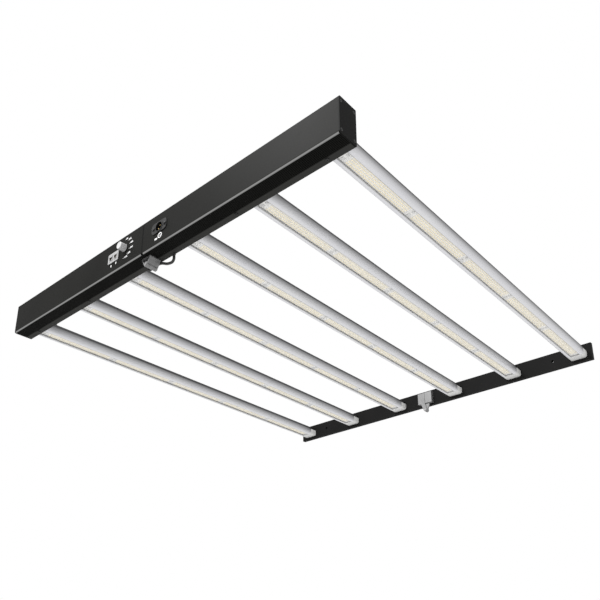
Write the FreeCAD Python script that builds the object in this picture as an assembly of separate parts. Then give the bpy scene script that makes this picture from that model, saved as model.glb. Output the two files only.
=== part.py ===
import FreeCAD, Part
import math
import os

# Folding LED grow light. Two half frames hinge about one line across the middle, so the
# lit faces close towards each other. Each half is a driver beam, three LED bars and a far
# beam. Millimetres. While modelling, X = 0 is the fold plane, Y = 0 the driver's front face
# and Z = 0 its underside. Every shape is then moved so that the origin is the centre of the
# whole fixture's box.

V = FreeCAD.Vector

# ---- whole fixture ----------------------------------------------------------
LENGTH = 1100.0             # along the two driver beams, outer cap to outer cap
FOLD_GAP = 1.0              # between the two halves at the fold plane
FAR_FACE_Y = 1169.5         # inner face of the far beam
HALF = LENGTH / 2
LEFT, RIGHT = -1, 1
SIDE_NAME = {LEFT: "left", RIGHT: "right"}

# ---- driver beam ------------------------------------------------------------
DRIVER_W = 48.4
DRIVER_H = 80.8
WALL = 2.4
EDGE_R = 4.5                # lower front edge
TOP_R = 3.0                 # upper front edge
SMALL_R = 1.0
CAP_T = 3.0
GROOVE_W = 1.8
GROOVE_DEPTH = 3.5
GROOVE_PITCH = 3.2
BOTTOM_GROOVES = 9
BOTTOM_GROOVE_Y = 5.0       # centre of the first groove underneath
TOP_GROOVES = 11
TOP_GROOVE_Y = 8.2
FLOOR_T = GROOVE_DEPTH + WALL
BOSS = 6.4                  # square corner boss that takes a cap screw
BOARD_Z = 20.0              # top of the ledges that carry the driver board
LEDGE = 3.0
BOARD_T = 1.6
BOARD_NEAR = 25.0           # board ends, measured from the fold plane
BOARD_FAR = 520.0
BOARD_PLAY = 0.3
BLOCK_PARTS = [             # X of the near edge, width, depth, height
    (112.0, 38.0, 9.0, 34.0), (200.0, 36.0, 30.0, 30.0), (244.0, 24.0, 24.0, 22.0),
    (380.0, 36.0, 30.0, 30.0), (424.0, 24.0, 24.0, 22.0), (490.0, 22.0, 28.0, 12.0),
]
CAPACITOR_X = [290.0, 316.0, 342.0]
CAPACITOR_R = 11.0
CAPACITOR_H = 36.0
CHOKE_X = [172.0, 468.0]
CHOKE_R = 14.0
CHOKE_HOLE_R = 6.0
CHOKE_H = 11.0

# ---- far beam ---------------------------------------------------------------
FAR_H = 52.0
FAR_DEPTH = 12.0
FAR_T = 2.0
FAR_CAP_T = 1.5
FAR_PLUG = 6.0
FAR_NEAR = FOLD_GAP / 2 + FAR_CAP_T
FAR_END = HALF - FAR_CAP_T

# ---- fasteners --------------------------------------------------------------
SCREW_R = 1.65
SCREW_HOLE_R = 1.70
HEAD_R = 3.5
HEAD_H = 2.4
HEAD_EDGE_R = 0.9
CROSS_LEN = 4.0
CROSS_W = 0.9
CROSS_DEPTH = 1.0
BRACKET_SCREW_LEN = 8.0
FAR_SCREW_LEN = 24.0
LUG_SCREW_LEN = 10.0
FLANGE_SCREW_LEN = 9.0
NEAR_HINGE_SCREW_LEN = 8.2
FAR_HINGE_SCREW_LEN = 21.0
INLET_SCREW_LEN = 9.0
SINK_R = 3.0                # countersunk head
SINK_H = 1.8

# ---- LED bars ---------------------------------------------------------------
BAR_X = [107.0, 309.0, 511.0]       # bar centres on one half, from the fold plane
BAR_HALF_W = 24.5
BAR_BOTTOM = 9.5
LENS_TOP = 28.2
LENS_R = 7.0
COVER_INNER_R = 3.5
LENS_T = 1.5
LIP_H = 2.0
SLIDE_PLAY = 0.05           # between the heat sink walls and the covers that clip over them
BOARD_SIDE_PLAY = 0.1
SINK_HALF_W = 22.4          # heat sink side wall, outside
SINK_SIDE_T = 1.6
SINK_LOW = 14.5
BASE_Z0 = 16.0
BASE_Z1 = 19.0
FIN_T = 1.2
FIN_X = [10.6, 14.0, 17.4]
FIN_FLAT_Z = 42.0           # height of the flat land on top of the bar
FIN_SHOULDER_Z = 30.0
LAND_HALF_W = 7.5
LAND_T = 1.6
PORT_X = 3.8                # screw ports along the inside of the land
PORT_Z = 22.2
PORT_R = 3.4
HOOK_T = 1.8
LED_BOARD_HALF_W = 13.0
LED_BOARD_Z0 = 14.4
LED_BOARDS = 5
LED_PITCH = 215.5
LED_BOARD_GAP = 1.0
LED_MID_Y = 606.0
RAIL_T = 1.2
BAR_CAP_LEN = 27.6
BAR_CAP_T = 2.0
BAR_CAP_WALL = 2.5

# ---- bar brackets -----------------------------------------------------------
BRACKET_HALF_W = 14.0
BRACKET_T = 2.5
BRACKET_REACH = 40.0
BRACKET_TOP_Z = 64.0
BRACKET_SCREW_Z = 56.0
BRACKET_SCREW_X = 8.0
BRACKET_SCREW_Y = [62.0, 78.0]

# ---- fold hinges ------------------------------------------------------------
PIVOT_Z = -17.0
KNUCKLE_R = 6.0
PIN_R = 3.0
PIN_CLEARANCE = 0.05
EAR_HALF_W = 15.0
NEAR_Y0 = 13.0
NEAR_Y1 = 41.5
NEAR_KNUCKLE_Y = [20.0, 34.5]
NEAR_LEAF_T = 2.2
NEAR_PAD = 2.5
KNUCKLE_PLAY = 0.3
NEAR_SCREW_X = 9.0
NEAR_SCREW_Y = [20.6, 35.0]
FAR_HINGE_DEPTH = 14.0
FAR_HINGE_PLATE = 4.0
FAR_HINGE_W = 25.5
FAR_HINGE_Z0 = 5.5
FAR_HINGE_Z1 = 43.0
FAR_HINGE_SCREW_X = 15.0
FAR_HINGE_SCREW_Z = [14.0, 34.0]
FAR_HINGE_HOLE = 10.0
EAR_PLAY = 0.2              # side play between tang and clevis plates
PIN_HEAD_R = 4.2
PIN_HEAD_T = 0.9

# ---- hanging points ---------------------------------------------------------
HANG_X = 434.0
HANG_HOLE_R = 4.0
LUG_T = 2.5
LUG_Y = 24.0
LUG_HALF_W = 11.0
LUG_BASE_HALF = 13.0
LUG_HOLE_Z = 93.5
LUG_TOP_Z = 102.5
LUG_CORNER = 9.0
LUG_SCREW_DY = 8.0
FAR_HOLE_Z = 27.0
FLANGE_SCREW_X = [257.5, 492.0]
FLANGE_SCREW_Y = 37.6

# ---- controls on the left half's front face ---------------------------------
KNOB_X = -67.0
KNOB_Z = 46.5
KNOB_R = 9.5
KNOB_TIP_R = 8.7
KNOB_LEN = 16.0
KNOB_GAP = 0.8
KNOB_EDGE_R = 1.0
KNOB_WALL = 2.0
KNOB_SKIRT = 3.8            # depth of the hollow that clears the nut
KNOB_FACE_T = 3.0
KNOB_FLUTES = 18
FLUTE_R = 0.9
FLUTE_DEPTH = 0.55
FLUTE_END = 2.2
POINTER_START = 2.0
POINTER_W = 1.2
POINTER_DEPTH = 0.8
SHAFT_R = 3.0
SHAFT_END_Y = 9.5
BUSH_R = 4.1
BUSH_LEN = 2.4
BUSH_HOLE_R = 4.2
NUT_R = 6.0                 # across the corners
NUT_T = 2.0
POT_SIZE = 16.0
POT_BORE_END_Y = 10.0
CONTROL_BOARD_MARGIN = 4.0
CONTROL_BOARD_LOW = 12.0
CONTROL_BOARD_HIGH = 16.0
MARK_T = 0.2
MARK_RADIUS = 24.0
MARK_FIRST_DEG = 80.0
MARK_STEP_DEG = 32.0
MARKS = 6
MARK_W = 11.0
MARK_H = 3.4
MARK_CORNER = 0.8
PLATE_X = -106.5
PLATE_Z = 38.5
PLATE_W = 39.0
PLATE_H = 25.0
PLATE_T = 2.5
PLATE_CORNER = 2.5
JACK_DX = 9.2
JACK = 13.0                 # body of one signal jack, square
JACK_FRONT = 3.2
JACK_DEPTH = 13.0
JACK_SLOT_W = 9.8
JACK_SLOT_H = 7.0
JACK_KEY_W = 4.2
JACK_KEY_H = 2.4
JACK_SLOT_DEPTH = 12.0
JACK_WINDOW_PLAY = 0.15
CUTOUT_W = 35.0
CUTOUT_H = 17.0
LABEL_X = PLATE_X
LABEL_W = 26.0
LABEL_H = 5.6
LABEL_Z = 20.8

# ---- power inlet on the right half's front face ------------------------------
INLET_X = 58.5
INLET_Z = 44.0
INLET_PLATE_W = 50.0
INLET_PLATE_H = 27.0
INLET_PLATE_T = 1.8
INLET_PLATE_CORNER = 9.0
INLET_PINS = 3
INLET_R = 12.5
INLET_BORE_R = 10.5
INLET_FRONT = 2.6
INLET_BACK = 18.0
INLET_FLOOR = 9.0
INLET_PIN_R = 1.3
INLET_PIN_CIRCLE = 5.2
INLET_PIN_LEN = 8.0
INLET_SCREW_X = 18.7
INLET_CUT_PLAY = 0.2
SIGN_X = 61.5
SIGN_Z = 21.5
SIGN_R = 6.8
SIGN_LINE = 1.8
SIGN_DOT_R = 1.3
SIGN_DOT_CIRCLE = 2.6
SIGN_BAR_DX = -12.5
SIGN_BAR_DZ = -4.5
SIGN_BAR_W = 9.0
SIGN_BAR_H = 4.2

# ---- cable that bridges the fold --------------------------------------------
CABLE_R = 3.1
CABLE_Y = 45.0
GLAND_X = 56.6
GLAND_H = 3.0
GLAND_R = 3.7
GLAND_CHAMFER = 0.6
GLAND_STEM_R = 2.8
GLAND_HOLE_PLAY = 0.1
GLAND_STEM_TOP = 14.0
ELBOW_X0 = -30.0
ELBOW_X1 = -20.0
ELBOW_HALF_W = 3.4
ELBOW_Z = -7.4
ELBOW_EDGE_R = 1.5
CABLE_ROUTE = [             # X, Z in the plane Y = CABLE_Y
    (-20.0, -4.1), (-12.0, -4.1), (-2.0, -3.7), (8.0, -4.1), (20.0, -8.4), (32.0, -15.4),
    (44.0, -18.8), (53.0, -19.3), (57.6, -13.4), (56.6, -7.6), (56.6, -3.0),
]
ARC_SHARE = 0.45            # share of the shorter run that each arc takes

# ---- origin of the finished part --------------------------------------------
ORIGIN_Y = (FAR_FACE_Y + FAR_DEPTH + HEAD_H - KNOB_LEN) / 2
ORIGIN_Z = (LUG_TOP_Z + PIVOT_Z - KNUCKLE_R) / 2


# ---- small helpers ----------------------------------------------------------
def box(x0, x1, y0, y1, z0, z1):
    low = V(min(x0, x1), min(y0, y1), min(z0, z1))
    size = V(abs(x1 - x0), abs(y1 - y0), abs(z1 - z0))
    return Part.makeBox(size.x, size.y, size.z, low)


def rod(axis, centre, radius, start, end):
    """A round bar along 'x', 'y' or 'z', through centre in the other two coordinates."""
    a, b = centre
    low = min(start, end)
    length = abs(end - start)
    base = {"x": V(low, a, b), "y": V(a, low, b), "z": V(a, b, low)}[axis]
    direction = {"x": V(1, 0, 0), "y": V(0, 1, 0), "z": V(0, 0, 1)}[axis]
    return Part.makeCylinder(radius, length, base, direction)


def rounded_wire(corners, place):
    """Closed outline through corners (a, b, radius); place(a, b) puts a point in space."""
    edges = []
    starts = []
    ends = []
    count = len(corners)
    for i, (a, b, radius) in enumerate(corners):
        here = V(a, b, 0)
        before = V(corners[i - 1][0], corners[i - 1][1], 0)
        after = V(corners[(i + 1) % count][0], corners[(i + 1) % count][1], 0)
        to_before = (before - here).normalize()
        to_after = (after - here).normalize()
        if radius == 0:
            starts.append(here)
            ends.append(here)
            continue
        half_angle = to_before.getAngle(to_after) / 2
        reach = radius / math.tan(half_angle)
        bisector = (to_before + to_after).normalize()
        middle = here + bisector * (radius / math.sin(half_angle) - radius)
        first = here + to_before * reach
        last = here + to_after * reach
        edges.append(Part.Arc(place(first), place(middle), place(last)).toShape())
        starts.append(first)
        ends.append(last)
    for i in range(count):
        line_start = ends[i]
        line_end = starts[(i + 1) % count]
        if (line_end - line_start).Length > 1e-6:
            edges.append(Part.LineSegment(place(line_start), place(line_end)).toShape())
    return Part.Wire(Part.__sortEdges__(edges))


def prism_x(corners, x0, x1):
    """Solid between x0 and x1 from an outline of (y, z, radius) corners."""
    low = min(x0, x1)
    wire = rounded_wire(corners, lambda p: V(low, p.x, p.y))
    return Part.Face(wire).extrude(V(abs(x1 - x0), 0, 0))


def prism_y(corners, y0, y1):
    """Solid between y0 and y1 from an outline of (x, z, radius) corners."""
    low = min(y0, y1)
    wire = rounded_wire(corners, lambda p: V(p.x, low, p.y))
    return Part.Face(wire).extrude(V(0, abs(y1 - y0), 0))


def rectangle(centre_a, centre_b, width, height, radius):
    a, b = width / 2, height / 2
    return [
        (centre_a - a, centre_b - b, radius), (centre_a + a, centre_b - b, radius),
        (centre_a + a, centre_b + b, radius), (centre_a - a, centre_b + b, radius),
    ]


def join(shapes):
    return shapes[0].multiFuse(shapes[1:]).removeSplitter()


def cut(body, tools):
    return body.cut(Part.makeCompound(tools))


def cross_recess(top):
    a, b = CROSS_LEN / 2, CROSS_W / 2
    low = top - CROSS_DEPTH
    return [box(-a, a, -b, b, low, top + 1), box(-b, b, -a, a, low, top + 1)]


def pan_screw(seat, direction, length):
    """Screw whose round head stands on seat and whose shank runs along direction."""
    head = Part.makeCylinder(HEAD_R, HEAD_H, V(0, 0, 0))
    top_edge = max(head.Edges, key=lambda e: e.BoundBox.ZMin)
    head = head.makeFillet(HEAD_EDGE_R, [top_edge])
    shank = Part.makeCylinder(SCREW_R, length, V(0, 0, -length))
    screw = cut(join([head, shank]), cross_recess(HEAD_H))
    screw.Placement = FreeCAD.Placement(seat, FreeCAD.Rotation(V(0, 0, -1), direction))
    return screw


def flat_screw(seat, direction, length):
    """Countersunk screw whose head is level with seat."""
    head = Part.makeCone(SCREW_R, SINK_R, SINK_H, V(0, 0, -SINK_H))
    shank = Part.makeCylinder(SCREW_R, length - SINK_H, V(0, 0, -length))
    screw = cut(join([head, shank]), cross_recess(0))
    screw.Placement = FreeCAD.Placement(seat, FreeCAD.Rotation(V(0, 0, -1), direction))
    return screw


def sink_hole(seat, direction, depth):
    """The countersunk hole that a flat_screw sits in, with a little room all round."""
    play = SCREW_HOLE_R - SCREW_R
    cone = Part.makeCone(SCREW_HOLE_R, SINK_R + play, SINK_H, V(0, 0, -SINK_H))
    bore = Part.makeCylinder(SCREW_HOLE_R, depth, V(0, 0, -depth))
    hole = join([cone, bore])
    hole.Placement = FreeCAD.Placement(seat, FreeCAD.Rotation(V(0, 0, -1), direction))
    return hole


# ---- driver beam ------------------------------------------------------------
HOUSING_OUTLINE = [
    (0, 0, EDGE_R), (DRIVER_W, 0, SMALL_R), (DRIVER_W, DRIVER_H, SMALL_R), (0, DRIVER_H, TOP_R),
]
CAVITY_Y0, CAVITY_Y1 = WALL, DRIVER_W - WALL
CAVITY_Z0, CAVITY_Z1 = FLOOR_T, DRIVER_H - FLOOR_T
BOSS_CENTRES = [
    (y, z)
    for y in (CAVITY_Y0 + BOSS / 2, CAVITY_Y1 - BOSS / 2)
    for z in (CAVITY_Z0 + BOSS / 2, CAVITY_Z1 - BOSS / 2)
]
HOUSING_NEAR = FOLD_GAP / 2 + CAP_T
HOUSING_FAR = HALF - CAP_T
CAP_SCREW_LEN = 12.0
GLAND_HOLE_R = GLAND_STEM_R + GLAND_HOLE_PLAY


def housing_grooves(x0, x1):
    grooves = []
    for i in range(BOTTOM_GROOVES):
        y = BOTTOM_GROOVE_Y + i * GROOVE_PITCH
        grooves.append(box(x0, x1, y - GROOVE_W / 2, y + GROOVE_W / 2, -1, GROOVE_DEPTH))
    for i in range(TOP_GROOVES):
        y = TOP_GROOVE_Y + i * GROOVE_PITCH
        grooves.append(
            box(x0, x1, y - GROOVE_W / 2, y + GROOVE_W / 2, DRIVER_H - GROOVE_DEPTH, DRIVER_H + 1)
        )
    return grooves


def housing_screw_holes(side):
    """Holes for every pan screw that goes into one driver housing."""
    holes = []
    for x in BAR_X:
        for dx in (-BRACKET_SCREW_X, BRACKET_SCREW_X):
            holes.append(
                rod("y", (side * x + dx, BRACKET_SCREW_Z), SCREW_HOLE_R, CAVITY_Y1 - 1, DRIVER_W + 1)
            )
    for x in FLANGE_SCREW_X:
        holes.append(rod("z", (side * x, FLANGE_SCREW_Y), SCREW_HOLE_R, -1, FLOOR_T + 1))
    for y in NEAR_SCREW_Y:
        holes.append(rod("z", (side * NEAR_SCREW_X, y), SCREW_HOLE_R, -1, FLOOR_T + 1))
    for dy in (-LUG_SCREW_DY, LUG_SCREW_DY):
        holes.append(
            rod("z", (side * HANG_X, LUG_Y + dy), SCREW_HOLE_R, CAVITY_Z1 - 1, DRIVER_H + 1)
        )
    return holes


def driver_housing(side):
    """Extruded tube with cooling grooves, corner bosses and two ledges for the board."""
    x0, x1 = side * HOUSING_NEAR, side * HOUSING_FAR
    tube = prism_x(HOUSING_OUTLINE, x0, x1)
    tube = cut(tube, [box(x0 - side, x1 + side, CAVITY_Y0, CAVITY_Y1, CAVITY_Z0, CAVITY_Z1)])
    tube = cut(tube, housing_grooves(x0 - side, x1 + side))
    ribs = [tube]
    for y, z in BOSS_CENTRES:
        ribs.append(box(x0, x1, y - BOSS / 2, y + BOSS / 2, z - BOSS / 2, z + BOSS / 2))
    ribs.append(box(x0, x1, CAVITY_Y0, CAVITY_Y0 + LEDGE, BOARD_Z - LEDGE / 2, BOARD_Z))
    ribs.append(box(x0, x1, CAVITY_Y1 - LEDGE, CAVITY_Y1, BOARD_Z - LEDGE / 2, BOARD_Z))
    body = join(ribs)
    holes = housing_screw_holes(side)
    for y, z in BOSS_CENTRES:
        holes.append(rod("x", (y, z), SCREW_HOLE_R, x0 - side, x0 + side * CAP_SCREW_LEN))
        holes.append(rod("x", (y, z), SCREW_HOLE_R, x1 + side, x1 - side * CAP_SCREW_LEN))
    if side == LEFT:
        holes.append(
            box(PLATE_X - CUTOUT_W / 2, PLATE_X + CUTOUT_W / 2, -1, WALL + 1,
                PLATE_Z - CUTOUT_H / 2, PLATE_Z + CUTOUT_H / 2)
        )
        holes.append(rod("y", (KNOB_X, KNOB_Z), BUSH_HOLE_R, -1, WALL + 1))
        elbow_x = (ELBOW_X0 + ELBOW_X1) / 2
        holes.append(rod("z", (elbow_x, CABLE_Y), GLAND_HOLE_R, -1, GLAND_STEM_TOP + 1))
    else:
        holes.append(rod("y", (INLET_X, INLET_Z), INLET_R + INLET_CUT_PLAY, -1, WALL + 1))
        for dx in (-INLET_SCREW_X, INLET_SCREW_X):
            holes.append(rod("y", (INLET_X + dx, INLET_Z), SCREW_HOLE_R, -1, WALL + 1))
        holes.append(rod("z", (GLAND_X, CABLE_Y), GLAND_HOLE_R, -1, GLAND_STEM_TOP + 1))
    return cut(body, holes)


def end_plate(side, near, outward):
    """A plate over one end of the housing. near is its |x| on the fold plane's side."""
    plate = prism_x(HOUSING_OUTLINE, side * near, side * (near + CAP_T))
    face_x = side * (near + CAP_T) if outward else side * near
    direction = V(-side, 0, 0) if outward else V(side, 0, 0)
    holes = [sink_hole(V(face_x, y, z), direction, CAP_T + 1) for y, z in BOSS_CENTRES]
    return cut(plate, holes)


def black_screws(side):
    """Countersunk screws in the end plates, and pan-head ones underneath and at the inlet."""
    screws = [
        pan_screw(V(side * x, FLANGE_SCREW_Y, 0), V(0, 0, 1), FLANGE_SCREW_LEN)
        for x in FLANGE_SCREW_X
    ]
    for y, z in BOSS_CENTRES:
        screws.append(flat_screw(V(side * FOLD_GAP / 2, y, z), V(side, 0, 0), CAP_SCREW_LEN))
        screws.append(flat_screw(V(side * HALF, y, z), V(-side, 0, 0), CAP_SCREW_LEN))
    if side == RIGHT:
        for dx in (-INLET_SCREW_X, INLET_SCREW_X):
            seat = V(INLET_X + dx, -INLET_PLATE_T, INLET_Z)
            screws.append(pan_screw(seat, V(0, 1, 0), INLET_SCREW_LEN))
    return screws


def driver_board(side):
    return box(side * BOARD_NEAR, side * BOARD_FAR, CAVITY_Y0 + BOARD_PLAY,
               CAVITY_Y1 - BOARD_PLAY, BOARD_Z, BOARD_Z + BOARD_T)


def driver_components(side):
    """Transformers, chokes, capacitors and a heat spreader standing on the driver board."""
    top = BOARD_Z + BOARD_T
    mid_y = DRIVER_W / 2
    pieces = []
    for x, width, depth, height in BLOCK_PARTS:
        pieces.append(
            box(side * x, side * (x + width), mid_y - depth / 2, mid_y + depth / 2,
                top, top + height)
        )
    for x in CAPACITOR_X:
        pieces.append(rod("z", (side * x, mid_y), CAPACITOR_R, top, top + CAPACITOR_H))
    for x in CHOKE_X:
        ring = rod("z", (side * x, mid_y), CHOKE_R, top, top + CHOKE_H)
        hole = rod("z", (side * x, mid_y), CHOKE_HOLE_R, top - 1, top + CHOKE_H + 1)
        pieces.append(ring.cut(hole))
    return pieces


# ---- LED bars ---------------------------------------------------------------
def fin_top(x):
    """Height of the rounded back of the bar at a distance x from its middle."""
    if x <= LAND_HALF_W:
        return FIN_FLAT_Z
    return FIN_SHOULDER_Z + (FIN_FLAT_Z - FIN_SHOULDER_Z) * math.sqrt(1 - (x / BAR_HALF_W) ** 2)


def heatsink(x):
    """Extruded finned spine of one bar, from the driver beam to the far beam."""
    y0, y1 = DRIVER_W, FAR_FACE_Y
    parts = [box(x - SINK_HALF_W, x + SINK_HALF_W, y0, y1, BASE_Z0, BASE_Z1)]
    rail = LED_BOARD_HALF_W + BOARD_SIDE_PLAY
    for s in (-1, 1):
        inner = SINK_HALF_W - SINK_SIDE_T
        parts.append(
            box(x + s * inner, x + s * SINK_HALF_W, y0, y1, SINK_LOW, fin_top(SINK_HALF_W))
        )
        parts.append(
            box(x + s * inner, x + s * BAR_HALF_W, y0, y1, LENS_TOP, LENS_TOP + HOOK_T)
        )
        parts.append(
            box(x + s * rail, x + s * (rail + RAIL_T), y0, y1, LED_BOARD_Z0, BASE_Z0)
        )
        for fin in FIN_X:
            parts.append(
                box(x + s * (fin - FIN_T / 2), x + s * (fin + FIN_T / 2), y0, y1,
                    BASE_Z1, fin_top(fin))
            )
        parts.append(
            box(x + s * (LAND_HALF_W - LAND_T), x + s * LAND_HALF_W, y0, y1, BASE_Z1, FIN_FLAT_Z)
        )
        parts.append(rod("y", (x + s * PORT_X, PORT_Z), PORT_R, y0, y1))
    parts.append(
        box(x - LAND_HALF_W, x + LAND_HALF_W, y0, y1, FIN_FLAT_Z - LAND_T, FIN_FLAT_Z)
    )
    body = join(parts)
    holes = []
    for s in (-1, 1):
        holes.append(rod("y", (x + s * PORT_X, PORT_Z), SCREW_HOLE_R, y0 - 1, y1 + 1))
    for y in BRACKET_SCREW_Y:
        holes.append(rod("z", (x, y), SCREW_HOLE_R, FIN_FLAT_Z - LAND_T - 1, FIN_FLAT_Z + 1))
    return cut(body, holes)


def led_boards(x):
    """Five boards end to end; the first is longer and carries the lead's connector."""
    boards = []
    for i in range(LED_BOARDS):
        middle = LED_MID_Y + (i - (LED_BOARDS - 1) / 2) * LED_PITCH
        reach = (LED_PITCH - LED_BOARD_GAP) / 2
        start = DRIVER_W + LED_BOARD_GAP if i == 0 else middle - reach
        boards.append(
            box(x - LED_BOARD_HALF_W, x + LED_BOARD_HALF_W, start, middle + reach,
                LED_BOARD_Z0, BASE_Z0)
        )
    return boards


def trough(x, wall, y0, y1):
    """Open-topped cover of one wall thickness, with rounded lower edges."""
    outer = [
        (x - BAR_HALF_W, LENS_TOP, 0), (x - BAR_HALF_W, BAR_BOTTOM, LENS_R),
        (x + BAR_HALF_W, BAR_BOTTOM, LENS_R), (x + BAR_HALF_W, LENS_TOP, 0),
    ]
    half = BAR_HALF_W - wall
    inner = [
        (x - half, LENS_TOP + 1, 0), (x - half, BAR_BOTTOM + wall, COVER_INNER_R),
        (x + half, BAR_BOTTOM + wall, COVER_INNER_R), (x + half, LENS_TOP + 1, 0),
    ]
    return prism_y(outer, y0, y1).cut(prism_y(inner, y0 - 1, y1 + 1))


def lens(x):
    """Clear cover under one bar; its inner lips rest against the heat sink's side walls."""
    y0 = DRIVER_W
    y1 = FAR_FACE_Y - BAR_CAP_LEN
    parts = [trough(x, LENS_T, y0, y1)]
    lip_in = SINK_HALF_W + SLIDE_PLAY
    for s in (-1, 1):
        parts.append(
            box(x + s * lip_in, x + s * (BAR_HALF_W - LENS_T / 2), y0, y1,
                LENS_TOP - LIP_H, LENS_TOP)
        )
    return join(parts)


def bar_cap(x):
    """Moulded end that closes the cover against the far beam."""
    outer_y = FAR_FACE_Y
    sleeve = trough(x, BAR_CAP_T, outer_y - BAR_CAP_LEN, outer_y)
    wall_outline = [
        (x - BAR_HALF_W, LENS_TOP, 0), (x - BAR_HALF_W, BAR_BOTTOM, LENS_R),
        (x + BAR_HALF_W, BAR_BOTTOM, LENS_R), (x + BAR_HALF_W, LENS_TOP, 0),
    ]
    wall = prism_y(wall_outline, outer_y - BAR_CAP_WALL, outer_y)
    slot_half = SINK_HALF_W + SLIDE_PLAY
    slot = box(x - slot_half, x + slot_half, outer_y - BAR_CAP_LEN, outer_y + BAR_CAP_LEN,
               LED_BOARD_Z0 - SLIDE_PLAY, LENS_TOP + 1)
    return join([sleeve, wall.cut(slot)])


def bracket(x):
    """Angle that holds one bar to the driver beam's rear face."""
    leg = box(x - BRACKET_HALF_W, x + BRACKET_HALF_W, DRIVER_W, DRIVER_W + BRACKET_T,
              FIN_FLAT_Z, BRACKET_TOP_Z)
    foot = box(x - BRACKET_HALF_W, x + BRACKET_HALF_W, DRIVER_W, DRIVER_W + BRACKET_REACH,
               FIN_FLAT_Z, FIN_FLAT_Z + BRACKET_T)
    holes = []
    for dx in (-BRACKET_SCREW_X, BRACKET_SCREW_X):
        holes.append(
            rod("y", (x + dx, BRACKET_SCREW_Z), SCREW_HOLE_R, DRIVER_W - 1, DRIVER_W + BRACKET_T + 1)
        )
    for y in BRACKET_SCREW_Y:
        holes.append(rod("z", (x, y), SCREW_HOLE_R, FIN_FLAT_Z - 1, FIN_FLAT_Z + BRACKET_T + 1))
    return cut(join([leg, foot]), holes)


# ---- far beam and hanging lugs ----------------------------------------------
def far_beam(side):
    """Flat tube that closes the frame; its front wall meets the bars."""
    x0, x1 = side * FAR_NEAR, side * FAR_END
    back = FAR_FACE_Y + FAR_DEPTH
    tube = box(x0, x1, FAR_FACE_Y, back, 0, FAR_H)
    hollow = box(x0 - side, x1 + side, FAR_FACE_Y + FAR_T, back - FAR_T, FAR_T, FAR_H - FAR_T)
    through = (FAR_FACE_Y - 1, back + 1)
    holes = [hollow, rod("y", (side * HANG_X, FAR_HOLE_Z), HANG_HOLE_R, *through)]
    for x in BAR_X:
        for dx in (-PORT_X, PORT_X):
            holes.append(rod("y", (side * x + dx, PORT_Z), SCREW_HOLE_R, *through))
    for z in FAR_HINGE_SCREW_Z:
        holes.append(rod("y", (side * FAR_HINGE_SCREW_X, z), SCREW_HOLE_R, *through))
    return cut(tube, holes)


def far_caps(side):
    """Plugs that close the two ends of the far beam."""
    back = FAR_FACE_Y + FAR_DEPTH
    caps = []
    for face, tube_end in ((FOLD_GAP / 2, FAR_NEAR), (HALF, FAR_END)):
        inward = 1 if tube_end > face else -1
        plate = box(side * face, side * tube_end, FAR_FACE_Y, back, 0, FAR_H)
        depth = tube_end + inward * FAR_PLUG
        inset = FAR_T + SLIDE_PLAY
        plug = box(side * tube_end, side * depth, FAR_FACE_Y + inset, back - inset,
                   inset, FAR_H - inset)
        caps.append(join([plate, plug]))
    return caps


def hanging_lug(side):
    x = side * HANG_X
    base_top = DRIVER_H + LUG_T
    base = box(x - LUG_HALF_W, x + LUG_HALF_W, LUG_Y - LUG_BASE_HALF, LUG_Y + LUG_BASE_HALF,
               DRIVER_H, base_top)
    ear = prism_y(
        [(x - LUG_HALF_W, DRIVER_H, 0), (x + LUG_HALF_W, DRIVER_H, 0),
         (x + LUG_HALF_W, LUG_TOP_Z, LUG_CORNER), (x - LUG_HALF_W, LUG_TOP_Z, LUG_CORNER)],
        LUG_Y - LUG_T / 2, LUG_Y + LUG_T / 2,
    )
    holes = [rod("y", (x, LUG_HOLE_Z), HANG_HOLE_R, LUG_Y - LUG_T, LUG_Y + LUG_T)]
    for dy in (-LUG_SCREW_DY, LUG_SCREW_DY):
        holes.append(rod("z", (x, LUG_Y + dy), SCREW_HOLE_R, DRIVER_H - 1, base_top + 1))
    return cut(join([base, ear]), holes)


def pan_screws(side):
    """Bright pan-head screws on one half: brackets, lug, far beam and hinges."""
    back = FAR_FACE_Y + FAR_DEPTH
    forward = V(0, -1, 0)
    down = V(0, 0, -1)
    screws = []
    for x in BAR_X:
        for dx in (-BRACKET_SCREW_X, BRACKET_SCREW_X):
            seat = V(side * x + dx, DRIVER_W + BRACKET_T, BRACKET_SCREW_Z)
            screws.append(pan_screw(seat, forward, BRACKET_SCREW_LEN))
        for y in BRACKET_SCREW_Y:
            seat = V(side * x, y, FIN_FLAT_Z + BRACKET_T)
            screws.append(pan_screw(seat, down, BRACKET_SCREW_LEN))
        for dx in (-PORT_X, PORT_X):
            seat = V(side * x + dx, back, PORT_Z)
            screws.append(pan_screw(seat, forward, FAR_SCREW_LEN))
    for dy in (-LUG_SCREW_DY, LUG_SCREW_DY):
        seat = V(side * HANG_X, LUG_Y + dy, DRIVER_H + LUG_T)
        screws.append(pan_screw(seat, down, LUG_SCREW_LEN))
    for y in NEAR_SCREW_Y:
        seat = V(side * NEAR_SCREW_X, y, FLOOR_T)
        screws.append(pan_screw(seat, down, NEAR_HINGE_SCREW_LEN))
    for z in FAR_HINGE_SCREW_Z:
        seat = V(side * FAR_HINGE_SCREW_X, back, z)
        screws.append(pan_screw(seat, forward, FAR_HINGE_SCREW_LEN))
    return screws


# ---- fold hinges ------------------------------------------------------------
def knuckle_tangent(corner, turn):
    """Point where a line from corner just touches the knuckle, on the side turn names."""
    arm = V(corner[0], corner[1] - PIVOT_Z, 0)
    angle = math.atan2(arm.y, arm.x) + turn * math.acos(KNUCKLE_R / arm.Length)
    return KNUCKLE_R * math.cos(angle), PIVOT_Z + KNUCKLE_R * math.sin(angle)


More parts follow.
